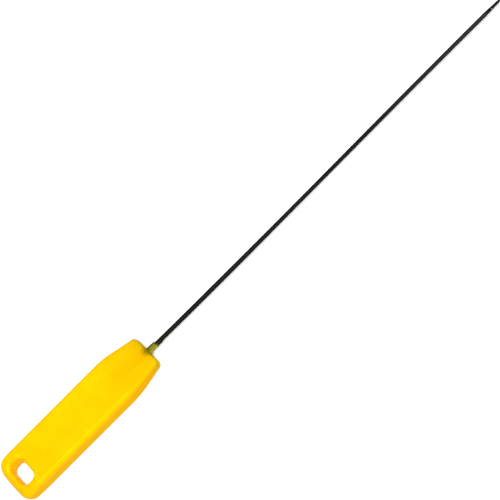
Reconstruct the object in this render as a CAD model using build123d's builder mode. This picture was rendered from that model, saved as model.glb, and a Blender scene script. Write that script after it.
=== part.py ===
from build123d import *
import os
from math import atan2, cos, sin

# A hand tool that pushes a plug string through a tyre: a flat moulded handle with a hang hole, and a long thin
# needle held by a brass ferrule. Millimetres, +X from the handle to the needle's point, +Y across, +Z up.
# The origin is the bottom centre of the whole tool, which lies flat on the handle's underside.

# Driving dimensions
overall_length = 400.0
handle_length = 111.0
handle_width = 28.5
handle_thickness = 15.0
needle_height = 6.0          # the needle's axis above the underside

# Handle
front_width = 21.2
neck_length = 22.0           # where the straight sides would meet the tapered ones
front_top = 11.3             # height of the top face at the front end
front_slope_length = 28.0    # of the top face's slope down to it
front_foot = 2.0             # height of the underside at the front end
foot_slope_length = 16.0     # of the underside's slope up to it
rear_top = 8.2               # height of the top face at the rear end
rear_fall_length = 13.0      # of the curve down to it
rear_bulge = 0.4             # the rear end is slightly bowed
rear_corner_radius = 6.8
front_corner_radius = 2.8
shoulder_radius = 60.0       # blends the straight sides into the tapered ones
blend_radius = 100.0         # blends the level faces into the front slopes
top_edge_radius = 2.6
foot_edge_radius = 2.0       # round the underside

# Hang hole, a rounded rectangle with soft rims
hole_across = 16.1
hole_along = 9.8
hole_corner_radius = 4.0
hole_rear_gap = 5.6          # from the handle's rear end to the hole
rim_radius = 2.0

# Shallow thumb scoop on top of the neck
scoop_length = 27.0
scoop_radius = 11.0
scoop_depth = 0.9            # at the front end
scoop_cutter_reach = 33.0    # of the round cutter, each way from the front end

# Ferrule
ferrule_radius = 2.0
ferrule_out = 6.6            # how far it stands out of the handle
ferrule_in = 26.0            # how far its shank goes in
foot_radius = 2.9            # the flared foot on the handle's front face
foot_length = 1.4
foot_recess = 0.8            # the foot's buried part
mouth_radius = 1.7           # the rolled-in mouth
mouth_length = 1.6
ring_count = 6               # grooves on the shank, which the plastic grips
ring_pitch = 3.6
ring_width = 1.4
ring_depth = 0.4

# Needle
root_radius = 1.40           # where it leaves the ferrule
shaft_radius = 1.20
root_length = 36.0           # of the thicker root, in front of the sleeve
thinning_length = 80.0       # over which the root thins to the shaft
tail_depth = 62.0            # how far the tail goes into the handle
tip_length = 13.5            # the tapered point
eye_radius = 0.86            # of the needle beside the eye
eye_length = 4.2
eye_width = 0.4
eye_front_gap = 3.9          # from the point to the eye
eye_mouth_width = 0.5        # the gap that opens the eye to one side
nose_radius = 0.72           # where the rounded nose begins
nose_length = 1.4

# Sleeve and tail anchor
sleeve_length = 3.6
sleeve_radius = 1.54
sleeve_edge = 0.08
anchor_length = 7.0
anchor_radius = 2.6
anchor_end_length = 2.1      # of the full-width stretch at each end
anchor_slope_length = 0.7    # down to the crimped waist
anchor_waist_radius = 2.1
anchor_tail_gap = 2.5        # of bare needle behind the anchor

tolerance = 0.01             # for choosing edges by their place

# Places along X
tip_x = overall_length / 2
rear_x = -tip_x
front_x = rear_x + handle_length
neck_x = front_x - neck_length
hole_x = rear_x + hole_rear_gap + hole_along / 2
mouth_x = front_x + ferrule_out
sleeve_end_x = mouth_x + sleeve_length
shank_x = front_x - ferrule_in
tail_x = front_x - tail_depth
anchor_x = tail_x + anchor_tail_gap
point_x = tip_x - tip_length
nose_x = tip_x - nose_length
eye_x = tip_x - eye_front_gap - eye_length / 2
eye_mouth_x = eye_x - eye_length / 2 + eye_width / 2 + eye_mouth_width / 2

# Round pieces are drawn as (x, radius) on this upright plane and turned about the needle's axis
needle_axis = Axis((0, 0, needle_height), (1, 0, 0))
turning_plane = Plane(origin=(0, 0, needle_height), x_dir=(1, 0, 0), z_dir=(0, -1, 0))


def shank_line():
    """The ferrule's buried outer line, from the end of its shank to its foot on the handle's front face."""
    line = [(shank_x, ferrule_radius)]
    for i in range(ring_count):
        start = shank_x + ring_pitch * (i + 0.5)
        line.append((start, ferrule_radius))
        line.append((start, ferrule_radius - ring_depth))
        line.append((start + ring_width, ferrule_radius - ring_depth))
        line.append((start + ring_width, ferrule_radius))
    line.append((front_x - foot_recess, ferrule_radius))
    line.append((front_x - foot_recess, foot_radius))
    line.append((front_x, foot_radius))
    return line


def anchor_line():
    """The tail anchor's outer line, thinner in the middle where it is crimped."""
    end_x = anchor_x + anchor_length
    waist_gap = anchor_end_length + anchor_slope_length
    return [
        (anchor_x, anchor_radius),
        (anchor_x + anchor_end_length, anchor_radius),
        (anchor_x + waist_gap, anchor_waist_radius),
        (end_x - waist_gap, anchor_waist_radius),
        (end_x - anchor_end_length, anchor_radius),
        (end_x, anchor_radius),
    ]


def down_to(radius, line):
    """A closed profile from an outer line down to one inner radius."""
    return [(line[0][0], radius), *line, (line[-1][0], radius)]


# The space in the handle that its moulded-in pieces fill
socket_line = [
    (tail_x, root_radius),
    (anchor_x, root_radius),
    *anchor_line(),
    (anchor_x + anchor_length, root_radius),
    (shank_x, root_radius),
    *shank_line(),
]

with BuildPart() as handle:
    # The plan outline: a bowed rear end, straight sides, a tapered neck and a flat front end
    with BuildSketch() as plan:
        with BuildLine():
            half_width = handle_width / 2
            rear_corner_x = rear_x + rear_bulge
            ThreePointArc((rear_corner_x, -half_width), (rear_x, 0), (rear_corner_x, half_width))
            Polyline(
                (rear_corner_x, half_width),
                (neck_x, half_width),
                (front_x, front_width / 2),
                (front_x, -front_width / 2),
                (neck_x, -half_width),
                (rear_corner_x, -half_width),
            )
        make_face()
        fillet(plan.vertices().group_by(Axis.X)[0], rear_corner_radius)
        fillet(plan.vertices().group_by(Axis.X)[-1], front_corner_radius)
        shoulders = plan.vertices().filter_by_position(Axis.X, neck_x - tolerance, neck_x + tolerance)
        fillet(shoulders, shoulder_radius)
    extrude(amount=handle_thickness)

    # The side view: a top that curves down to the rear end, and a neck that thins from above and below
    with BuildSketch(Plane.XZ):
        with BuildLine():
            level_start = (rear_x + rear_fall_length, handle_thickness)
            TangentArc(level_start, (rear_x, rear_top), tangent=(-1, 0))
            FilletPolyline(
                level_start,
                (front_x - front_slope_length, handle_thickness),
                (front_x, front_top),
                radius=blend_radius,
            )
            Line((front_x, front_top), (front_x, front_foot))
            FilletPolyline(
                (front_x, front_foot),
                (front_x - foot_slope_length, 0),
                (rear_x, 0),
                radius=blend_radius,
            )
            Line((rear_x, 0), (rear_x, rear_top))
        make_face()
    extrude(amount=handle_width, both=True, mode=Mode.INTERSECT)
    for low, high, radius in (
        (needle_height, handle_thickness, top_edge_radius),
        (0, needle_height, foot_edge_radius),
    ):
        level_edges = handle.edges().filter_by(Axis.Z, reverse=True)
        fillet(level_edges.filter_by_position(Axis.Z, low, high), radius)

    # The hang hole
    with BuildSketch(Plane.XY.offset(handle_thickness)):
        with Locations((hole_x, 0)):
            RectangleRounded(hole_along, hole_across, hole_corner_radius)
    extrude(amount=-handle_thickness, mode=Mode.SUBTRACT)
    reach_x = hole_along / 2 + tolerance
    reach_y = hole_across / 2 + tolerance
    hole_edges = handle.edges().filter_by_position(Axis.X, hole_x - reach_x, hole_x + reach_x)
    hole_edges = hole_edges.filter_by_position(Axis.Y, -reach_y, reach_y)
    fillet(hole_edges.filter_by(Axis.Z, reverse=True), rim_radius)

    # The thumb scoop: a round channel that deepens from nothing to the front end
    scoop_fall = handle_thickness - front_top + scoop_depth
    scoop_angle = atan2(scoop_fall, scoop_length)
    scoop_plane = Plane(
        origin=(
            front_x + scoop_radius * sin(scoop_angle),
            0,
            front_top - scoop_depth + scoop_radius * cos(scoop_angle),
        ),
        x_dir=(0, 1, 0),
        z_dir=(cos(scoop_angle), 0, -sin(scoop_angle)),
    )
    with BuildSketch(scoop_plane):
        Circle(scoop_radius)
    extrude(amount=scoop_cutter_reach, both=True, mode=Mode.SUBTRACT)

    # The socket for the moulded-in pieces
    with BuildSketch(turning_plane):
        with BuildLine():
            Polyline(*down_to(0, socket_line), close=True)
        make_face()
    revolve(axis=needle_axis, mode=Mode.SUBTRACT)

with BuildPart() as ferrule:
    with BuildSketch(turning_plane):
        with BuildLine():
            outer = shank_line() + [
                (front_x + foot_length, ferrule_radius),
                (mouth_x - mouth_length, ferrule_radius),
                (mouth_x, mouth_radius),
            ]
            Polyline(*down_to(root_radius, outer), close=True)
        make_face()
    revolve(axis=needle_axis)

with BuildPart() as needle_sleeve:
    with BuildSketch(turning_plane):
        with BuildLine():
            Polyline(
                (mouth_x, root_radius),
                (mouth_x, sleeve_radius),
                (sleeve_end_x - sleeve_edge, sleeve_radius),
                (sleeve_end_x, sleeve_radius - sleeve_edge),
                (sleeve_end_x, root_radius),
                close=True,
            )
        make_face()
    revolve(axis=needle_axis)

with BuildPart() as needle:
    with BuildSketch(turning_plane):
        with BuildLine():
            Polyline(
                (nose_x, nose_radius),
                (eye_x, eye_radius),
                (point_x, shaft_radius),
                (sleeve_end_x + root_length + thinning_length, shaft_radius),
                (sleeve_end_x + root_length, root_radius),
                (tail_x, root_radius),
                (tail_x, 0),
                (tip_x, 0),
            )
            EllipticalCenterArc((nose_x, 0), nose_length, nose_radius, start_angle=0, arc_size=90)
        make_face()
    revolve(axis=needle_axis)
    # The eye goes through from top to bottom, and a gap opens it to one side
    with BuildSketch(Plane.XY.offset(needle_height)):
        with Locations((eye_x, 0)):
            SlotOverall(eye_length, eye_width)
        with Locations((eye_mouth_x, -shaft_radius / 2)):
            Rectangle(eye_mouth_width, shaft_radius)
    extrude(amount=shaft_radius, both=True, mode=Mode.SUBTRACT)

with BuildPart() as tail_anchor:
    with BuildSketch(turning_plane):
        with BuildLine():
            Polyline(*down_to(root_radius, anchor_line()), close=True)
        make_face()
    revolve(axis=needle_axis)

os.makedirs("parts", exist_ok=True)

handle.part.label = "handle"
ferrule.part.label = "ferrule"
needle_sleeve.part.label = "needle_sleeve"
needle.part.label = "needle"
tail_anchor.part.label = "tail_anchor"

export_step(handle.part, "parts/handle.step")
export_step(ferrule.part, "parts/ferrule.step")
export_step(needle_sleeve.part, "parts/needle_sleeve.step")
export_step(needle.part, "parts/needle.step")
export_step(tail_anchor.part, "parts/tail_anchor.step")
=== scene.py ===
import math

import bmesh
import bpy
from mathutils import Matrix, Vector, noise


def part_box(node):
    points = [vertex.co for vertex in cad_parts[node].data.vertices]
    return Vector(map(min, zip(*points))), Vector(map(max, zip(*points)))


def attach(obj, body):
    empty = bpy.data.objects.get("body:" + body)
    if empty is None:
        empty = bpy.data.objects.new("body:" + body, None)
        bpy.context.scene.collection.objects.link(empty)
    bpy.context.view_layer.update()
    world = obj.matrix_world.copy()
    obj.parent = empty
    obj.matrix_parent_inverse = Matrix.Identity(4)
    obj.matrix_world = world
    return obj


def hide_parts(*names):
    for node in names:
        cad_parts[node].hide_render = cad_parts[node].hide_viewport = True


# A tyre plug insertion tool lying on a pale floor: a yellow moulded handle with a hang hole, and a long
# black needle held by a brass ferrule. Metres, +X towards the needle's point, +Y across, +Z up. The
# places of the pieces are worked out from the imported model's boxes.

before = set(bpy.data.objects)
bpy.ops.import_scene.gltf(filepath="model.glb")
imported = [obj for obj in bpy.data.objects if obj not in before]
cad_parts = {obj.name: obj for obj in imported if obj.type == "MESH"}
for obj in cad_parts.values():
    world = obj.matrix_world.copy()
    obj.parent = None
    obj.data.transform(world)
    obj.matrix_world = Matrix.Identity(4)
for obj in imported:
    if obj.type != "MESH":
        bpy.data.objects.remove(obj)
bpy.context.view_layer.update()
mm = 0.001
tolerance = 1e-7                        # between points that count as the same

# ---------------------------------------------------------------- places taken from the imported model's boxes
handle_low, handle_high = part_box("handle")
ferrule_low, ferrule_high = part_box("ferrule")
_, sleeve_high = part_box("needle_sleeve")
needle_low, needle_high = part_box("needle")

rear_x, front_x = handle_low.x, handle_high.x
half_width = (handle_high.y - handle_low.y) / 2
level_top = handle_high.z
needle_z = (ferrule_low.z + ferrule_high.z) / 2
shank_x, mouth_x = ferrule_low.x, ferrule_high.x
sleeve_end_x = sleeve_high.x
tail_x, tip_x = needle_low.x, needle_high.x

# ---------------------------------------------------------------- the handle's sizes
neck_x = front_x - 22.0 * mm            # where the straight sides would meet the tapered ones
front_half_width = 10.6 * mm
shoulder_radius = 60.0 * mm
rear_bulge = 0.4 * mm                   # the rear end is slightly bowed
rear_bow_radius = 110.0 * mm
rear_corner_radius = 6.8 * mm
front_corner_radius = 2.8 * mm
outline_step = 0.4 * mm                 # between points of the plan outline

top_edge_radius = 2.6 * mm
neck_top_edge_radius = 2.1 * mm         # the top edge is crisper at the neck
neck_edge_start_x = front_x - 32.0 * mm
neck_edge_full_x = front_x - 20.0 * mm
foot_edge_radius = 2.0 * mm
rear_foot_edge_radius = 3.4 * mm        # the bottom edge is softer at the rear
rear_edge_start_x = rear_x + 14.0 * mm
rear_edge_full_x = rear_x + 4.0 * mm

front_fall = 3.7 * mm                   # of the top face, down to the front end
front_fall_length = 28.0 * mm
foot_rise = 2.0 * mm                    # of the underside, up to the front end
foot_rise_length = 16.0 * mm
blend_radius = 100.0 * mm               # blends the level faces into the front slopes
rear_fall = 6.8 * mm                    # of the top face, round to the rear end
rear_fall_length = 13.0 * mm
rear_fall_radius = (rear_fall_length ** 2 + rear_fall ** 2) / (2 * rear_fall)

dish_depth = 0.5 * mm                   # of the slightly sunken top face
dish_rear_x = rear_x + 3.0 * mm
dish_rear_full_x = rear_x + 22.0 * mm
dish_front_full_x = front_x - 40.0 * mm
wave_height = 0.02 * mm                 # of the moulding's faint waves on it
wave_size = 9.0 * mm

scoop_length = 27.0 * mm                # of the shallow thumb scoop on top of the neck
scoop_radius = 11.0 * mm
scoop_depth = 0.9 * mm
scoop_blend = 0.5 * mm
scoop_half_width = 0.9 * scoop_radius   # beyond it the channel's sides rise no further

gate_center = Vector((front_x - 32.7 * mm, 6.1 * mm))
gate_radius = 0.9 * mm                  # of the sunken mark where the plastic flowed in
gate_depth = 0.18 * mm
gate_lip_height = 0.35 * gate_depth
gate_lip_place = 1.5                    # in gate radii from its middle
gate_lip_width = 0.35                   # in gate radii

recess_depth = 0.5 * mm                 # of the front face around the ferrule's foot
recess_inner_radius = 2.9 * mm
recess_outer_radius = 3.9 * mm

foot_edge_steps = 6                     # how finely the edges and the walls are divided
wall_steps = 24
top_edge_steps = 10
handle_sharp_degrees = 50

# ---------------------------------------------------------------- the hang hole's sizes
hole_along = 9.4 * mm
hole_across = 15.7 * mm
hole_corner_radius = 3.8 * mm
hole_rear_gap = 5.6 * mm
hole_side_shift = 0.2 * mm              # to +Y
hole_center = Vector((rear_x + hole_rear_gap + hole_along / 2, hole_side_shift))
rim_width = 2.7 * mm                    # of the soft top rim
rim_depth = 5.0 * mm
foot_rim_radius = 2.0 * mm
hole_patch_margin = 6.0 * mm            # in front of the hole, where the loops around it end

rim_steps = 12
hole_wall_steps = 16
foot_rim_steps = 8
hole_loop_steps = 8

# ---------------------------------------------------------------- the needle's sizes
needle_root_radius = 1.40 * mm          # where it leaves the ferrule
needle_shaft_radius = 1.20 * mm
root_end_x = sleeve_end_x + 36.0 * mm
thin_end_x = sleeve_end_x + 116.0 * mm
tail_end_radius = 0.9 * needle_root_radius
tail_bevel = 0.2 * mm
first_station_gap = 4.0 * mm            # from the tail
station_step = 1.5 * mm                 # between the rings of points along the wire
last_station_gap = 1.0 * mm             # to where the taper starts

taper_start_x = tip_x - 13.5 * mm
taper_length = 9.5 * mm
taper_steps = 19
eye_radius = 0.86 * mm                  # of the needle where the taper ends, beside the eye
nose_start_x = tip_x - 4.0 * mm
nose_run = 2.5 * mm                     # from there to the rounded nose
nose_run_steps = 7
nose_radius = 0.72 * mm
nose_length = 1.5 * mm
nose_steps = 12

# the +Y places of the control points of the wire's bend, from the ferrule's mouth to the point
bow_points = (-0.2 * mm, -1.35 * mm, 0.79 * mm, 0.1 * mm)
bow_start_x = front_x - 6.0 * mm        # behind it the wire is straight
bow_full_x = mouth_x + 1.0 * mm
wire_segments = 48
wire_sharp_degrees = 35

# ---------------------------------------------------------------- the eye's sizes
eye_length = 4.2 * mm
eye_width = 0.4 * mm
eye_end_radius = 0.18 * mm
eye_front_x = tip_x - 3.9 * mm
eye_rear_x = eye_front_x - eye_length
gap_width = 0.3 * mm                    # of the gap that opens the eye to -Y
gap_rear_x = eye_rear_x + 0.2 * mm
gap_reach = 1.6 * mm                    # from the needle's middle out past its side
gap_corner_radius = 0.1 * mm

eye_flare = 0.1 * mm                    # of the cut edges, at the needle's surface
eye_flare_start = 0.55 * mm             # above and below the needle's axis
eye_flare_full = 0.86 * mm
cutter_reach = 1.6 * mm
cutter_step = 1.0 * mm

# ---------------------------------------------------------------- the ferrule's sizes
tube_radius = 2.0 * mm
tube_segments = 96
bore_radius = needle_root_radius + 0.05 * mm
bore_front_x = mouth_x - 0.9 * mm

shank_ring_count = 6                    # grooves that the plastic grips
shank_ring_pitch = 3.6 * mm
shank_ring_width = 1.4 * mm
shank_ring_depth = 0.4 * mm
bevel = 0.05 * mm                       # of the buried corners

foot_radius = 2.9 * mm                  # the flared foot on the handle's front face
foot_rear_x = front_x - 0.8 * mm
foot_rim_x = front_x - 0.15 * mm
flare_start_x = front_x - 0.1 * mm      # of the curve from the foot in to the tube
flare_end_x = front_x + 1.2 * mm
flare_height = 0.95 * mm
flare_steps = 8
plain_steps = 12                        # along the plain stretch between the foot and the mouth

roll_start_x = mouth_x - 0.95 * mm      # where the mouth starts to roll in
roll_length = 0.65 * mm
roll_power = 1.8
roll_steps = 8
mouth_radius = 1.72 * mm
lip_radius = 0.2 * mm
lip_drop = 0.1 * mm                     # of the lip's centre below the mouth's radius
lip_center = (mouth_x - 0.22 * mm, mouth_radius - lip_drop)
lip_steps = 8

mouth_skew = 0.5 * mm                   # the mouth is cut askew
skew_start_x = front_x + 0.5 * mm
seam_angle = math.radians(105)          # of the rolled seam, from +Y towards the top
seam_depth = 0.09 * mm
seam_width = 0.1                        # in radians
ripple_height = 0.02 * mm
ripple_length = 2.0 * mm
ripple_waves = 1.3                      # around the tube
foot_splay = 0.8 * mm                   # of the foot to -Y
splay_full_x = front_x + 0.3 * mm
splay_end_x = front_x + 1.6 * mm

lean_start_x = mouth_x - 3.0 * mm       # in front of it the ferrule leans with the wire

# ---------------------------------------------------------------- the sleeve's sizes
sleeve_radius = 1.54 * mm
sleeve_bore_radius = needle_root_radius + 0.01 * mm
sleeve_rear_x = mouth_x - 0.6 * mm      # tucked into the ferrule's mouth
sleeve_front_x = sleeve_end_x - 0.18 * mm
sleeve_round = 0.12 * mm                # of its end edges
sleeve_rear_bevel = 0.1 * mm
sleeve_rear_steps = 4
sleeve_front_steps = 5
sleeve_ripple = 0.02 * mm
sleeve_ripple_turn = 1.7                # radians from one point to the next
sleeve_steps = 15
sleeve_sag = 0.2 * mm                   # to -Y
sleeve_segments = 64


# ---------------------------------------------------------------- mesh tools
class Surface:
    """Collects the rows of points and the faces of one mesh."""

    def __init__(self):
        self.points = []
        self.faces = []

    def row(self, points):
        """Adds points and returns their numbers."""
        start = len(self.points)
        self.points.extend(points)
        return list(range(start, len(self.points)))

    def bridge(self, first, second, closed=True):
        """Joins two rows of equal length with four-sided faces."""
        count = len(first)
        for i in range(count if closed else count - 1):
            j = (i + 1) % count
            self.faces.append((first[i], first[j], second[j], second[i]))

    def bridge_all(self, rows, closed=True):
        for first, second in zip(rows, rows[1:]):
            self.bridge(first, second, closed)

    def fan(self, loop, point):
        """Closes a loop with triangles to one point."""
        center = self.row([point])[0]
        for i in range(len(loop)):
            self.faces.append((loop[i], loop[(i + 1) % len(loop)], center))

    def make(self, name, sharp_degrees=40):
        """Welds the points and makes a smooth object, with hard edges where faces meet more sharply."""
        mesh = bpy.data.meshes.new(name)
        mesh.from_pydata([tuple(p) for p in self.points], [], self.faces)
        work = bmesh.new()
        work.from_mesh(mesh)
        bmesh.ops.remove_doubles(work, verts=work.verts, dist=tolerance)
        bmesh.ops.recalc_face_normals(work, faces=work.faces)
        work.to_mesh(mesh)
        work.free()
        mesh.shade_smooth()
        mesh.set_sharp_from_angle(angle=math.radians(sharp_degrees))
        piece = bpy.data.objects.new(name, mesh)
        bpy.context.scene.collection.objects.link(piece)
        return piece


def smooth_step(low, high, value):
    """0 at low, 1 at high, and a soft rise between them."""
    t = min(max((value - low) / (high - low), 0.0), 1.0)
    return t * t * (3 - 2 * t)


def blend(first, second, share):
    """The number that lies `share` of the way from the first to the second."""
    return first + (second - first) * share


def rounding(steps):
    """A quarter round of radius 1 from a wall to a face: (inset, drop) pairs."""
    angles = [math.pi / 2 * k / steps for k in range(steps + 1)]
    return [(1 - math.cos(a), 1 - math.sin(a)) for a in angles]


def arc_points(center, radius, start, end, steps):
    """Points of an arc in the (x, radius) plane, angles in degrees."""
    angles = [math.radians(blend(start, end, k / steps)) for k in range(steps + 1)]
    return [(center[0] + radius * math.cos(a), center[1] + radius * math.sin(a)) for a in angles]


def rounded_outline(corners, step):
    """Walks anticlockwise round a convex outline of (x, y, radius) corners: (point, normal) pairs."""
    count = len(corners)
    turns = []
    for i in range(count):
        before, here, after = (Vector(corners[(i + k) % count][:2]) for k in (-1, 0, 1))
        into, out = (here - before).normalized(), (after - here).normalized()
        angle = math.atan2(into.x * out.y - into.y * out.x, into.dot(out))
        reach = corners[i][2] * math.tan(angle / 2)
        turns.append((into, angle, here - reach * into, here + reach * out))
    samples = []
    for i in range(count):
        into, angle, start, end = turns[i]
        radius = corners[i][2]
        normal = Vector((into.y, -into.x))
        center = start - radius * normal
        # an even number of steps puts a point at the middle of the corner
        arc_steps = 2 * max(3, math.ceil(radius * angle / step / 2))
        for k in range(arc_steps + 1):
            turn = Matrix.Rotation(angle * k / arc_steps, 2)
            samples.append((center + radius * (turn @ normal), turn @ normal))
        run = turns[(i + 1) % count][2] - end
        run_normal = Vector((run.y, -run.x)).normalized()
        run_steps = max(1, round(run.length / step))
        for k in range(1, run_steps):
            samples.append((end + run * k / run_steps, run_normal))
    return samples


# ---------------------------------------------------------------- the handle
def front_slope(x, change, length):
    """How far a level face has sloped away at x, if it changes by `change` over its last `length`."""
    slope = change / length
    reach = blend_radius * slope / 2
    past_knee = x - (front_x - length)
    if past_knee > reach:
        return slope * past_knee
    return max(0.0, past_knee + reach) ** 2 / (2 * blend_radius)


def scoop_height(x, y):
    """The floor of a round channel that falls to the handle's front end."""
    fall = (front_fall + scoop_depth) / scoop_length
    floor = level_top - front_fall - scoop_depth + (front_x - x) * fall
    side = min(abs(y), scoop_half_width)
    return floor + scoop_radius - math.sqrt(scoop_radius ** 2 - side ** 2)


def top_height(x, y):
    """The top face: level, falling to both ends, slightly dished, with the thumb scoop and gate mark."""
    height = level_top - front_slope(x, front_fall, front_fall_length)
    into_curve = max(0.0, rear_fall_length - (x - rear_x))
    height -= rear_fall_radius - math.sqrt(rear_fall_radius ** 2 - into_curve ** 2)

    inner_half = half_width - top_edge_radius
    dish = max(0.0, 1 - (y / inner_half) ** 2)
    dish *= smooth_step(dish_rear_x, dish_rear_full_x, x) * smooth_step(front_x, dish_front_full_x, x)
    height -= dish_depth * dish
    height += wave_height * dish * noise.noise(Vector((x, y, 0)) / wave_size)

    scoop = scoop_height(x, y)
    near = max(0.0, 1 - abs(height - scoop) / scoop_blend)
    height = min(height, scoop) - near * near * scoop_blend / 4

    from_gate = (Vector((x, y)) - gate_center).length / gate_radius
    height -= gate_depth * math.exp(-from_gate ** 4)
    height += gate_lip_height * math.exp(-((from_gate - gate_lip_place) / gate_lip_width) ** 2)
    return height


def underside_height(x, y):
    """The underside: flat, with a front end that rises, the same all the way across."""
    return front_slope(x, foot_rise, foot_rise_length)


def ferrule_recess(y, z):
    """How far the front face sinks around the ferrule's foot."""
    distance = math.hypot(y, z - needle_z)
    return recess_depth * (1 - smooth_step(recess_inner_radius, recess_outer_radius, distance))


def top_edge(x):
    """The top edge's radius at x."""
    share = smooth_step(neck_edge_start_x, neck_edge_full_x, x)
    return blend(top_edge_radius, neck_top_edge_radius, share)


def foot_edge(x):
    """The bottom edge's radius at x."""
    share = smooth_step(rear_edge_start_x, rear_edge_full_x, x)
    return blend(foot_edge_radius, rear_foot_edge_radius, share)


def edge_row(outline, inset, lift, edge_radius, height):
    """One row of a rounded edge, with its inset and lift given as shares of the edge's radius."""
    row = []
    for p, normal in outline:
        radius = edge_radius(p.x)
        q = p - inset * radius * normal
        row.append((q.x, q.y, height(q.x, q.y) + lift * radius))
    return row


def wall_row(outline, share):
    """One row of the upright wall, `share` of the way up it."""
    row = []
    for p, _ in outline:
        low = underside_height(p.x, p.y) + foot_edge(p.x)
        high = top_height(p.x, p.y) - top_edge(p.x)
        z = blend(low, high, share)
        on_front_face = p.x > front_x - tolerance
        sink = ferrule_recess(p.y, z) if on_front_face else 0.0
        row.append((p.x - sink, p.y, z))
    return row


def handle_rows(outline):
    """The handle's outer rows, from the underside's rim up the wall to the top face's rim."""
    rows = []
    for inset, rise in reversed(rounding(foot_edge_steps)):
        rows.append(edge_row(outline, inset, rise, foot_edge, underside_height))
    for k in range(1, wall_steps):
        rows.append(wall_row(outline, k / wall_steps))
    for inset, drop in rounding(top_edge_steps):
        rows.append(edge_row(outline, inset, -drop, top_edge, top_height))
    return rows


def front_patch(skin, rim, height):
    """Fills a face in front of the hang hole with rows, and returns the loop around what is left."""
    flat = [Vector(skin.points[i][:2]) for i in rim]
    split_x = hole_center.x + hole_along / 2 + hole_patch_margin

    def nearest(side):
        """The rim's point nearest to split_x, on the -Y side or on the +Y side."""
        on_side = [i for i, p in enumerate(flat) if p.y * side > 0]
        return min(on_side, key=lambda i: abs(flat[i].x - split_x))

    side_low, side_high = nearest(-1), nearest(1)
    corner_low = max(range(len(flat)), key=lambda i: flat[i].x - flat[i].y)
    corner_high = max(range(len(flat)), key=lambda i: flat[i].x + flat[i].y)
    across = corner_high - corner_low
    rows = []
    for i in range(corner_low - side_low):
        low, high = flat[side_low + i], flat[side_high - i]
        u = (low.x - flat[side_low].x) / (flat[corner_low].x - flat[side_low].x)
        inner = []
        for j in range(1, across):
            v = j / across
            front = flat[corner_low + j] - flat[corner_low].lerp(flat[corner_high], v)
            point = low.lerp(high, v) + u * front
            inner.append((point.x, point.y, height(point.x, point.y)))
        rows.append([rim[side_low + i], *skin.row(inner), rim[side_high - i]])
    rows.append(rim[corner_low:corner_high + 1])
    skin.bridge_all(rows, closed=False)
    return rim[side_high:] + rim[:side_low + 1] + rows[0][1:-1]


def hole_patch(skin, outer, height, inset, hole_points):
    """Fills the rest of a face with loops that shrink to the hang hole's rim, and returns the last."""
    loops = [outer]
    for k in range(1, hole_loop_steps + 1):
        loop = []
        for i, (edge, normal) in zip(outer, hole_points):
            point = Vector(skin.points[i][:2]).lerp(edge + inset * normal, k / hole_loop_steps)
            loop.append((point.x, point.y, height(point.x, point.y)))
        loops.append(skin.row(loop))
    skin.bridge_all(loops)
    return loops[-1]


def hole_edge(direction):
    """Where a ray from the hole's middle meets its edge: (point, normal into the plastic)."""
    across, along = hole_across / 2, hole_along / 2
    x, y = abs(direction.x), abs(direction.y)
    flip = Vector((math.copysign(1, direction.x), math.copysign(1, direction.y)))
    corner = Vector((along - hole_corner_radius, across - hole_corner_radius))
    if y * along <= corner.y * x:
        point, normal = Vector((along, y * along / x)), Vector((1, 0))
    elif x * across <= corner.x * y:
        point, normal = Vector((x * across / y, across)), Vector((0, 1))
    else:
        ray = Vector((x, y)).normalized()
        reach = ray.dot(corner)
        outside = corner.length_squared - hole_corner_radius ** 2
        point = ray * (reach + math.sqrt(reach * reach - outside))
        normal = (point - corner).normalized()
    return hole_center + point * flip, normal * flip


def hole_rows(hole_points):
    """The hang hole's rows, from its top rim down the wall to its bottom rim."""
    rows = []
    for inset, drop in reversed(rounding(rim_steps)[:-1]):
        row = []
        for edge, normal in hole_points:
            q = edge + inset * rim_width * normal
            row.append((q.x, q.y, top_height(q.x, q.y) - drop * rim_depth))
        rows.append(row)
    for k in range(1, hole_wall_steps):
        row = []
        for edge, _ in hole_points:
            high = top_height(edge.x, edge.y) - rim_depth
            row.append((edge.x, edge.y, blend(high, foot_rim_radius, k / hole_wall_steps)))
        rows.append(row)
    for inset, rise in rounding(foot_rim_steps)[:-1]:
        row = []
        for edge, normal in hole_points:
            q = edge + inset * foot_rim_radius * normal
            row.append((q.x, q.y, rise * foot_rim_radius))
        rows.append(row)
    return rows


def build_handle():
    rear_line = rear_x + rear_bulge
    outline = rounded_outline(
        [
            (rear_x - rear_bulge, 0, rear_bow_radius),
            (rear_line, -half_width, rear_corner_radius),
            (neck_x, -half_width, shoulder_radius),
            (front_x, -front_half_width, front_corner_radius),
            (front_x, front_half_width, front_corner_radius),
            (neck_x, half_width, shoulder_radius),
            (rear_line, half_width, rear_corner_radius),
        ],
        outline_step,
    )
    skin = Surface()
    rings = [skin.row(row) for row in handle_rows(outline)]
    skin.bridge_all(rings)
    top_around = front_patch(skin, rings[-1], top_height)
    hole_points = [hole_edge(Vector(skin.points[i][:2]) - hole_center) for i in top_around]
    top_loop = hole_patch(skin, top_around, top_height, rim_width, hole_points)
    foot_around = front_patch(skin, rings[0], underside_height)
    foot_loop = hole_patch(skin, foot_around, underside_height, foot_rim_radius, hole_points)
    wall = [skin.row(row) for row in hole_rows(hole_points)]
    skin.bridge_all([top_loop, *wall, foot_loop])
    return skin.make("handle_skin", handle_sharp_degrees)


# ---------------------------------------------------------------- turned pieces
def needle_bow(x):
    """How far the wire has wandered to +Y at x: it starts off centre and bends like a faint S."""
    t = min(max((x - mouth_x) / (tip_x - mouth_x), 0.0), 1.0)
    s = 1 - t
    a, b, c, d = bow_points
    bow = a * s ** 3 + 3 * b * s * s * t + 3 * c * s * t * t + d * t ** 3
    return bow * smooth_step(bow_start_x, bow_full_x, x)


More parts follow.
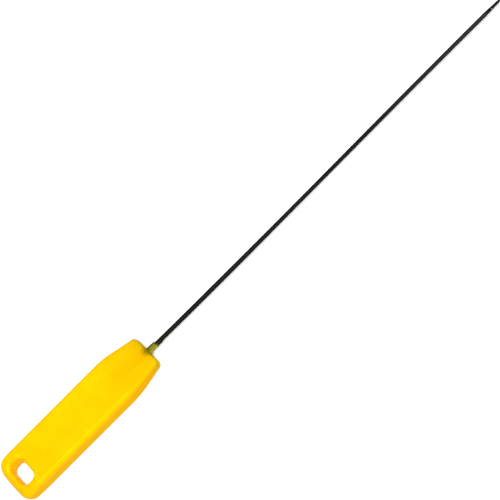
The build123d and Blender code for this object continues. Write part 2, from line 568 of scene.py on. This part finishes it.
def mouth_lean(x):
    """How far the ferrule and the sleeve have leant to +Y with the wire at x."""
    return needle_bow(x) * smooth_step(lean_start_x, mouth_x, x)


def turned_rows(skin, line, segments, sideways, swell):
    """Turns a line of (x, radius) points about the needle's axis, and bridges its rings of points.

    `sideways` moves a ring to +Y, and `swell` gives a point's shift along X and its extra radius.
    """
    rows = []
    for x, radius in line:
        row = []
        for k in range(segments):
            angle = 2 * math.pi * k / segments
            shift, grow = swell(x, angle)
            r = radius + grow
            row.append((x + shift, sideways(x) + r * math.cos(angle), needle_z + r * math.sin(angle)))
        rows.append(skin.row(row))
    skin.bridge_all(rows)
    return rows


def turned_tube(name, line, segments, swell):
    """A tube whose outer line and bore make one closed line."""
    skin = Surface()
    rows = turned_rows(skin, line, segments, mouth_lean, swell)
    skin.bridge(rows[-1], rows[0])
    return skin.make(name)


def ferrule_line():
    """The ferrule's line: its ringed shank, flared foot and rolled mouth, and then its bore."""
    line = [(shank_x, tube_radius)]
    groove_radius = tube_radius - shank_ring_depth
    for i in range(shank_ring_count):
        start = shank_x + shank_ring_pitch * (i + 0.5)
        end = start + shank_ring_width
        line += [(start, tube_radius), (start + bevel, groove_radius)]
        line += [(end - bevel, groove_radius), (end, tube_radius)]
    line += [(foot_rear_x, tube_radius), (foot_rear_x + bevel, foot_radius), (foot_rim_x, foot_radius)]
    for inset, rise in rounding(flare_steps):
        line.append((blend(flare_start_x, flare_end_x, inset), tube_radius + flare_height * rise))
    for k in range(1, plain_steps + 1):
        line.append((blend(flare_end_x, roll_start_x, k / plain_steps), tube_radius))
    for k in range(1, roll_steps + 1):
        t = k / roll_steps
        radius = blend(tube_radius, mouth_radius + lip_drop, t ** roll_power)
        line.append((roll_start_x + roll_length * t, radius))
    line += arc_points(lip_center, lip_radius, start=60, end=-90, steps=lip_steps)
    line += [(bore_front_x, bore_radius), (shank_x, bore_radius)]
    return line


def ferrule_swell(x, angle):
    """The mouth is askew, the foot splays to -Y, and the tube has a seam and isn't quite round."""
    shift = -mouth_skew * smooth_step(skew_start_x, mouth_x, x) * math.cos(angle)
    from_seam = (angle - seam_angle + math.pi) % (2 * math.pi) - math.pi
    seam = -seam_depth * math.exp(-(from_seam / seam_width) ** 2)
    around = (ripple_waves * math.cos(angle), ripple_waves * math.sin(angle))
    ripple = ripple_height * noise.noise(Vector((x / ripple_length, *around)))
    splay = foot_splay * max(0.0, -math.cos(angle)) * smooth_step(splay_end_x, splay_full_x, x)
    past_front = smooth_step(front_x, splay_full_x, x)
    return shift, (seam + ripple + splay) * past_front


def build_ferrule():
    return turned_tube("ferrule_tube", ferrule_line(), tube_segments, ferrule_swell)


def sleeve_line():
    """The sleeve's line: its outside, with rounded ends and a faint ripple, and then its bore."""
    arc_radius = sleeve_radius - sleeve_round
    rear_arc = (sleeve_rear_x + sleeve_round, arc_radius)
    front_arc = (sleeve_front_x - sleeve_round, arc_radius)
    line = [(sleeve_rear_x, sleeve_bore_radius), (sleeve_rear_x, sleeve_radius - sleeve_rear_bevel)]
    line += arc_points(rear_arc, sleeve_round, start=160, end=90, steps=sleeve_rear_steps)
    for k in range(1, sleeve_steps + 1):
        ripple = sleeve_ripple * math.sin(k * sleeve_ripple_turn)
        line.append((blend(rear_arc[0], front_arc[0], k / sleeve_steps), sleeve_radius + ripple))
    line += arc_points(front_arc, sleeve_round, start=80, end=0, steps=sleeve_front_steps)
    line += [(sleeve_front_x, sleeve_bore_radius)]
    return line


def sleeve_swell(x, angle):
    """The sleeve sags a little to -Y, the same all along."""
    return 0.0, -sleeve_sag * math.cos(angle)


def build_sleeve():
    return turned_tube("sleeve_collar", sleeve_line(), sleeve_segments, sleeve_swell)


def needle_line():
    """The wire's line: a thick root, a slow thinning, a long shaft and a tapered, rounded point."""
    line = [(tail_x, tail_end_radius), (tail_x + tail_bevel, needle_root_radius)]
    x = tail_x + first_station_gap
    while x < taper_start_x - last_station_gap:
        thinning = smooth_step(root_end_x, thin_end_x, x)
        line.append((x, blend(needle_root_radius, needle_shaft_radius, thinning)))
        x += station_step
    for k in range(taper_steps + 1):
        t = k / taper_steps
        radius = blend(needle_shaft_radius, eye_radius, smooth_step(0, 1, t))
        line.append((taper_start_x + taper_length * t, radius))
    for k in range(1, nose_run_steps + 1):
        t = k / nose_run_steps
        line.append((nose_start_x + nose_run * t, blend(eye_radius, nose_radius, t * t)))
    for inset, drop in rounding(nose_steps)[1:-1]:
        line.append((tip_x - nose_length * drop, nose_radius * (1 - inset)))
    return line


def no_swell(x, angle):
    """The wire is round everywhere."""
    return 0.0, 0.0


def slot_cutter(name, low, high, corner_radius):
    """An upright cutter between two (x, y) corners that flares towards its top and bottom."""
    skin = Surface()
    rows = []
    upper_levels = [eye_flare_start, eye_flare_full, cutter_reach]
    lower_levels = [-level for level in reversed(upper_levels)]
    for level in lower_levels + upper_levels:
        past_start = max(0.0, abs(level) - eye_flare_start)
        flare = eye_flare * past_start / (eye_flare_full - eye_flare_start)
        radius = corner_radius + flare
        outline = rounded_outline(
            [
                (low[0] - flare, low[1] - flare, radius),
                (high[0] + flare, low[1] - flare, radius),
                (high[0] + flare, high[1] + flare, radius),
                (low[0] - flare, high[1] + flare, radius),
            ],
            cutter_step,
        )
        rows.append(skin.row([(p.x, p.y, needle_z + level) for p, _ in outline]))
    skin.bridge_all(rows)
    skin.faces.append(tuple(reversed(rows[0])))
    skin.faces.append(tuple(rows[-1]))
    return skin.make(name)


def cut_eye(needle):
    """Cuts the plug string's eye through the point, and the gap that opens it to -Y."""
    y = needle_bow(eye_front_x)
    eye_low, eye_high = (eye_rear_x, y - eye_width / 2), (eye_front_x, y + eye_width / 2)
    gap_low, gap_high = (gap_rear_x, y - gap_reach), (gap_rear_x + gap_width, y)
    cutters = (
        slot_cutter("eye_cutter", eye_low, eye_high, eye_end_radius),
        slot_cutter("gap_cutter", gap_low, gap_high, gap_corner_radius),
    )
    for cutter in cutters:
        cut = needle.modifiers.new(cutter.name, "BOOLEAN")
        cut.operation = "DIFFERENCE"
        cut.solver = "EXACT"
        cut.object = cutter
    depsgraph = bpy.context.evaluated_depsgraph_get()
    mesh = bpy.data.meshes.new_from_object(needle.evaluated_get(depsgraph))
    needle.modifiers.clear()
    needle.data = mesh
    mesh.shade_smooth()
    mesh.set_sharp_from_angle(angle=math.radians(wire_sharp_degrees))
    for cutter in cutters:
        bpy.data.objects.remove(cutter)


def build_needle():
    skin = Surface()
    rows = turned_rows(skin, needle_line(), wire_segments, needle_bow, no_swell)
    skin.fan(rows[0], (tail_x, needle_bow(tail_x), needle_z))
    skin.fan(rows[-1], (tip_x, needle_bow(tip_x), needle_z))
    needle = skin.make("needle_wire", wire_sharp_degrees)
    cut_eye(needle)
    return needle


# ---------------------------------------------------------------- colours, linear RGBA
plastic_dark = (0.71, 0.39, 0.0006, 1)
plastic_light = (0.73, 0.42, 0.0008, 1)
# painted shade on the neck: in a streak along its middle, and over the neck as a whole
plastic_streak_shade = (0.71, 0.34, 0.0006, 1)
plastic_neck_shade = (0.71, 0.335, 0.0006, 1)
# painted shade low on the sides
plastic_side_shade = (0.60, 0.29, 0.0008, 1)
# painted shade at the front end
plastic_front_shade = (0.27, 0.25, 0.002, 1)
# painted light on the hang hole's walls
plastic_hole_lit = (0.96, 0.50, 0.0006, 1)
plastic_sheen = (1.0, 0.7, 0.05, 1)
# painted shade around the ferrule's foot
ferrule_foot_shade = (0.13, 0.11, 0.001, 1)
# painted shadow low on the hang hole's +Y wall
hole_rim_shadow = (0.25, 0.10, 0.001, 1)
brass_light = (0.18, 0.165, 0.006, 1)
brass_tarnished = (0.12, 0.113, 0.004, 1)
# painted shade on the upper side of the ferrule
brass_upper_shade = (0.08, 0.076, 0.001, 1)
# painted highlight along the ferrule's -Y side
brass_side_highlight = (0.34, 0.31, 0.014, 1)
brass_mouth = (0.03, 0.018, 0.002, 1)
wire_dark = (0.0035, 0.0035, 0.0026, 1)
wire_light = (0.0065, 0.0065, 0.005, 1)
wire_worn = (0.035, 0.034, 0.03, 1)
# painted highlight along the top of the wire
wire_highlight = (0.042, 0.042, 0.036, 1)
rubber_dark = (0.004, 0.004, 0.0025, 1)
rubber_light = (0.016, 0.015, 0.009, 1)
steel_light = (0.48, 0.47, 0.45, 1)
steel_stained = (0.36, 0.34, 0.31, 1)
floor_white = (0.82, 0.82, 0.82, 1)
world_white = (1, 1, 1, 1)


# ---------------------------------------------------------------- materials
class Nodes:
    """A small helper for building a material's node tree."""

    def __init__(self, name):
        self.material = bpy.data.materials.new(name)
        self.material.use_nodes = True
        self.tree = self.material.node_tree
        self.shader = self.tree.nodes["Principled BSDF"]
        self.place = self.add("ShaderNodeTexCoord").outputs["Object"]

    def add(self, kind, **settings):
        node = self.tree.nodes.new(kind)
        for key, value in settings.items():
            setattr(node, key, value)
        return node

    def set(self, socket, value):
        """Links a socket to a pattern, or sets a plain value on it."""
        if isinstance(value, bpy.types.NodeSocket):
            self.tree.links.new(value, socket)
        else:
            socket.default_value = value

    def surface(self, name, value):
        """Sets one of the shader's own sockets."""
        self.set(self.shader.inputs[name], value)

    def noise(self, size, detail, roughness=0.5, stretch=(1, 1, 1)):
        """A cloudy pattern whose blotches are about `size` metres, stretched along the axes."""
        mapping = self.add("ShaderNodeMapping")
        self.set(mapping.inputs["Vector"], self.place)
        mapping.inputs["Scale"].default_value = [1 / (size * s) for s in stretch]
        texture = self.add("ShaderNodeTexNoise")
        self.set(texture.inputs["Vector"], mapping.outputs["Vector"])
        texture.inputs["Scale"].default_value = 1.0
        texture.inputs["Detail"].default_value = detail
        texture.inputs["Roughness"].default_value = roughness
        return texture.outputs["Fac"]

    def ramp(self, value, low, high, out_low=0.0, out_high=1.0):
        """Maps low..high to out_low..out_high, clamped and smooth."""
        node = self.add("ShaderNodeMapRange", interpolation_type="SMOOTHSTEP")
        self.set(node.inputs["Value"], value)
        node.inputs["From Min"].default_value = low
        node.inputs["From Max"].default_value = high
        node.inputs["To Min"].default_value = out_low
        node.inputs["To Max"].default_value = out_high
        return node.outputs["Result"]

    def math(self, operation, *values):
        node = self.add("ShaderNodeMath", operation=operation)
        for socket, value in zip(node.inputs, values):
            self.set(socket, value)
        return node.outputs["Value"]

    def mix(self, factor, first, second):
        node = self.add("ShaderNodeMix", data_type="RGBA")
        self.set(node.inputs["Factor"], factor)
        self.set(node.inputs["A"], first)
        self.set(node.inputs["B"], second)
        return node.outputs["Result"]

    def bump(self, height, distance, strength, after=None):
        """A normal that follows a height pattern, on top of another bump if one is given."""
        node = self.add("ShaderNodeBump")
        self.set(node.inputs["Height"], height)
        node.inputs["Distance"].default_value = distance
        node.inputs["Strength"].default_value = strength
        if after is not None:
            self.set(node.inputs["Normal"], after)
        return node.outputs["Normal"]

    def axis(self, name):
        """One coordinate of the place on the piece."""
        node = self.add("ShaderNodeSeparateXYZ")
        self.set(node.inputs["Vector"], self.place)
        return node.outputs[name]

    def distance_to(self, place):
        """How far the place on the piece is from a given one."""
        node = self.add("ShaderNodeVectorMath", operation="DISTANCE")
        self.set(node.inputs[0], self.place)
        node.inputs[1].default_value = place
        return node.outputs["Value"]

    def outside(self, name, middle, half_size):
        """How far the place lies outside a band along one axis, negative inside it."""
        from_middle = self.math("ABSOLUTE", self.math("SUBTRACT", self.axis(name), middle))
        return self.math("SUBTRACT", from_middle, half_size)


def neck_painted_shade(n, color):
    """Painted shade on the neck: darker and more orange, and most of all in a streak along its middle."""
    x = n.axis("X")
    along = n.ramp(x, front_x - 28 * mm, front_x - 22 * mm)
    across = n.ramp(n.math("ABSOLUTE", n.axis("Y")), 2.2 * mm, 5.5 * mm, 1.0, 0.0)
    shade_streak = n.math("MULTIPLY", n.math("MULTIPLY", along, across), 0.55)
    color = n.mix(shade_streak, color, plastic_streak_shade)
    start = n.ramp(x, front_x - 36 * mm, front_x - 16 * mm, 0.0, 0.5)
    end = n.ramp(x, front_x - 8 * mm, front_x - 2 * mm, 1.0, 0.2)
    return n.mix(n.math("MULTIPLY", start, end), color, plastic_neck_shade)


def front_painted_shade(n, color):
    """Painted shade: the front end is darker, and darker and more olive still, in patches, around the
    ferrule's foot.
    """
    near_front = n.ramp(n.axis("X"), front_x - 9 * mm, front_x - 1 * mm)
    across = n.ramp(n.axis("Y"), -9 * mm, 2 * mm, 0.25, 0.45)
    color = n.mix(n.math("MULTIPLY", near_front, across), color, plastic_front_shade)
    above_foot = (front_x, -1 * mm, needle_z + 2 * mm)
    near = n.ramp(n.distance_to(above_foot), 2.4 * mm, 5.6 * mm, 1.0, 0.0)
    patches = n.ramp(n.noise(1.2 * mm, detail=4), 0.25, 0.7, 0.5, 1.0)
    cover = n.math("MULTIPLY", n.math("MULTIPLY", near, patches), 0.85)
    return n.mix(cover, color, ferrule_foot_shade)


def hole_painted_light(n, color):
    """Painted light inside the hang hole: its walls are brighter, with a painted shadow low down on the
    +Y side.
    """
    outside_x = n.outside("X", hole_center.x, hole_along / 2)
    outside_y = n.outside("Y", hole_center.y, hole_across / 2)
    hole_lit = n.ramp(n.math("MAXIMUM", outside_x, outside_y), 0.2 * mm, 1.6 * mm, 1.0, 0.0)
    color = n.mix(hole_lit, color, plastic_hole_lit)
    # painted shadow low down on the hole's +Y wall
    low = n.ramp(n.axis("Z"), 2 * mm, 4 * mm, 0.7, 0.0)
    far_side = n.ramp(n.axis("Y"), 6 * mm, 8 * mm)
    rim_shadow = n.math("MULTIPLY", hole_lit, n.math("MULTIPLY", low, far_side))
    return n.mix(rim_shadow, color, hole_rim_shadow)


def yellow_plastic():
    """Satin moulded plastic: faint clouds, an orange-peel skin, fine scratches, and painted shade and
    light.
    """
    n = Nodes("yellow_plastic")
    cloud = n.ramp(n.noise(14 * mm, detail=3), 0.35, 0.65)
    color = neck_painted_shade(n, n.mix(cloud, plastic_dark, plastic_light))
    # painted shade: the sides are a little darker and more orange towards the bottom
    lower_side_shade = n.ramp(n.axis("Z"), level_top - 1 * mm, level_top - 9 * mm, 0.0, 0.7)
    color = n.mix(lower_side_shade, color, plastic_side_shade)
    color = hole_painted_light(n, front_painted_shade(n, color))
    n.surface("Base Color", color)
    smear = n.noise(5 * mm, detail=4, roughness=0.6, stretch=(2.5, 1, 1))
    worn = n.ramp(n.axis("X"), rear_x + 10 * mm, front_x - 25 * mm, -0.1, 0.12)
    n.surface("Roughness", n.math("ADD", n.ramp(smear, 0.3, 0.7, 0.30, 0.42), worn))
    peel = n.bump(n.noise(0.9 * mm, detail=2), 0.02 * mm, 0.5)
    lines = n.noise(0.25 * mm, detail=3, roughness=0.6, stretch=(14, 1, 1))
    scratches = n.ramp(lines, 0.62, 0.75)
    n.surface("Normal", n.bump(scratches, -0.006 * mm, 0.5, after=peel))
    # light spreads inside the plastic, and its sheen is yellow rather than white
    n.surface("Subsurface Weight", 0.5)
    n.surface("Subsurface Radius", (1.0, 0.5, 0.02))
    n.surface("Subsurface Scale", 3.0 * mm)
    n.surface("Metallic", 0.028)
    n.surface("Specular Tint", plastic_sheen)
    n.surface("Specular IOR Level", 0.004)
    return n.material


def tarnished_brass():
    """Dull olive brass: tarnish clouds, fine drawing lines along the tube and a dark rim at the mouth."""
    n = Nodes("tarnished_brass")
    clouds = n.noise(1.6 * mm, detail=4, roughness=0.6, stretch=(2, 1, 1))
    tarnish = n.ramp(clouds, 0.35, 0.68)
    color = n.mix(tarnish, brass_light, brass_tarnished)
    # painted shade: the upper side is darker
    upper_shade = n.ramp(n.axis("Z"), needle_z + 0.6 * mm, needle_z + 1.9 * mm, 0.0, 0.6)
    color = n.mix(upper_shade, color, brass_upper_shade)
    # and a painted highlight runs along the -Y side
    side_highlight = n.ramp(n.axis("Y"), -0.9 * mm, -1.8 * mm, 0.0, 0.6)
    color = n.mix(side_highlight, color, brass_side_highlight)
    # the dark rim runs askew, like the mouth
    askew = n.math("MULTIPLY_ADD", n.axis("Y"), 0.2, n.axis("X"))
    mouth = n.ramp(askew, mouth_x - 1.15 * mm, mouth_x - 0.75 * mm)
    color = n.mix(n.math("MULTIPLY", mouth, 0.85), color, brass_mouth)
    n.surface("Base Color", color)
    n.surface("Metallic", 0.3)
    n.surface("Specular IOR Level", 0.1)
    n.surface("Roughness", n.ramp(tarnish, 0.0, 1.0, 0.55, 0.7))
    drawing_lines = n.noise(0.12 * mm, detail=2, stretch=(18, 1, 1))
    n.surface("Normal", n.bump(drawing_lines, 0.01 * mm, 0.5))
    return n.material


def blackened_steel():
    """Oil-blackened wire: nearly black, with fine draw marks, worn grey specks and a painted highlight
    along its top.
    """
    n = Nodes("blackened_steel")
    clouds = n.noise(4 * mm, detail=2, stretch=(3, 1, 1))
    color = n.mix(clouds, wire_dark, wire_light)
    specks = n.noise(0.8 * mm, detail=5, roughness=0.65, stretch=(6, 1, 1))
    wear = n.ramp(specks, 0.58, 0.78)
    color = n.mix(n.math("MULTIPLY", wear, 0.35), color, wire_worn)
    # a painted highlight runs along the top, a little to the -Y side, towards the point
    along = n.ramp(n.axis("X"), tip_x - 110 * mm, tip_x - 30 * mm, 0.0, 0.9)
    upward = n.math("SUBTRACT", n.axis("Z"), n.math("MULTIPLY", n.axis("Y"), 0.4))
    line = n.ramp(upward, needle_z + 1.08 * mm, needle_z + 1.28 * mm)
    n.surface("Base Color", n.mix(n.math("MULTIPLY", along, line), color, wire_highlight))
    n.surface("Roughness", n.ramp(wear, 0.0, 1.0, 0.45, 0.35))
    draw_marks = n.noise(0.15 * mm, detail=3, roughness=0.6, stretch=(20, 1, 1))
    n.surface("Normal", n.bump(draw_marks, 0.008 * mm, 0.5))
    n.surface("Specular IOR Level", 0.03)
    return n.material


def black_rubber():
    """Matt black sleeve with a faint mottle."""
    n = Nodes("black_rubber")
    mottle = n.noise(0.7 * mm, detail=4, roughness=0.6)
    n.surface("Base Color", n.mix(mottle, rubber_dark, rubber_light))
    n.surface("Roughness", n.ramp(mottle, 0.3, 0.7, 0.6, 0.75))
    n.surface("Normal", n.bump(n.noise(0.2 * mm, detail=3), 0.02 * mm, 0.6))
    n.surface("Specular IOR Level", 0.03)
    return n.material


def crimped_steel():
    """The tail anchor: turned steel with fine rings and a little staining."""
    n = Nodes("crimped_steel")
    stain = n.ramp(n.noise(1.5 * mm, detail=4), 0.35, 0.65)
    n.surface("Base Color", n.mix(stain, steel_light, steel_stained))
    n.surface("Metallic", 1.0)
    n.surface("Roughness", n.ramp(stain, 0.0, 1.0, 0.32, 0.48))
    rings = n.noise(0.1 * mm, detail=2, stretch=(1, 12, 12))
    n.surface("Normal", n.bump(rings, 0.01 * mm, 0.5))
    return n.material


# ---------------------------------------------------------------- camera, floor and light
camera_distance = 1.2188
camera_elevation = math.radians(68.0)
camera_roll = math.radians(44.995)      # turns the tool to run from corner to corner
camera_target = Vector((-0.0058, -0.0001, needle_z))
camera_lens_mm = 151.2
sensor_mm = 36.0
camera_clip_end = 10.0

floor_half = 3.0
light_place = Vector((-0.1, -0.44, 1.6))
light_target = Vector((0, 0, 0))
light_diameter = 0.8
light_watts = 43
world_strength = 0.4


def add_camera():
    """Looks down on the tool from its -Y side."""
    data = bpy.data.cameras.new("camera")
    data.lens = camera_lens_mm
    data.sensor_width = sensor_mm
    data.clip_end = camera_clip_end
    camera = bpy.data.objects.new("camera", data)
    bpy.context.scene.collection.objects.link(camera)
    back = Vector((0, -math.cos(camera_elevation), math.sin(camera_elevation)))
    along = Vector((1, 0, 0))
    across = back.cross(along)
    right = math.cos(camera_roll) * along - math.sin(camera_roll) * across
    up = math.sin(camera_roll) * along + math.cos(camera_roll) * across
    place = camera_target + camera_distance * back
    turn = Matrix((right, up, back)).transposed().to_4x4()
    camera.matrix_world = Matrix.Translation(place) @ turn
    bpy.context.scene.camera = camera


def add_floor():
    """A pale matt floor, wide enough to fill every view."""
    mesh = bpy.data.meshes.new("floor")
    signs = ((-1, -1), (1, -1), (1, 1), (-1, 1))
    corners = [(x * floor_half, y * floor_half, 0) for x, y in signs]
    mesh.from_pydata(corners, [], [(0, 1, 2, 3)])
    floor = bpy.data.objects.new("floor", mesh)
    bpy.context.scene.collection.objects.link(floor)
    n = Nodes("pale_floor")
    n.surface("Base Color", floor_white)
    n.surface("Roughness", 0.9)
    n.surface("Specular IOR Level", 0.1)
    mesh.materials.append(n.material)


def add_light():
    """One round lamp high above the handle, a little to the -Y side."""
    data = bpy.data.lights.new("overhead", "AREA")
    data.shape = "DISK"
    data.size = light_diameter
    data.energy = light_watts
    light = bpy.data.objects.new("overhead", data)
    light.location = light_place
    light.rotation_euler = (light_target - light_place).to_track_quat("-Z", "Y").to_euler()
    bpy.context.scene.collection.objects.link(light)


def add_world():
    world = bpy.data.worlds.new("studio")
    world.use_nodes = True
    background = world.node_tree.nodes["Background"]
    background.inputs["Color"].default_value = world_white
    background.inputs["Strength"].default_value = world_strength
    bpy.context.scene.world = world
    bpy.context.scene.view_settings.view_transform = "Standard"


add_camera()
add_floor()
add_world()
add_light()

# ---------------------------------------------------------------- the pieces
for piece, node, slot, material in (
    (build_handle(), "handle", "handle_plastic", yellow_plastic()),
    (build_ferrule(), "ferrule", "ferrule_brass", tarnished_brass()),
    (build_sleeve(), "needle_sleeve", "sleeve_rubber", black_rubber()),
    (build_needle(), "needle", "needle_steel", blackened_steel()),
):
    piece.data.materials.clear()
    piece.data.materials.append(material)
    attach(piece, "root")
    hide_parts(node)

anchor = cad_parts["tail_anchor"]
anchor.data.materials.clear()
anchor.data.materials.append(crimped_steel())
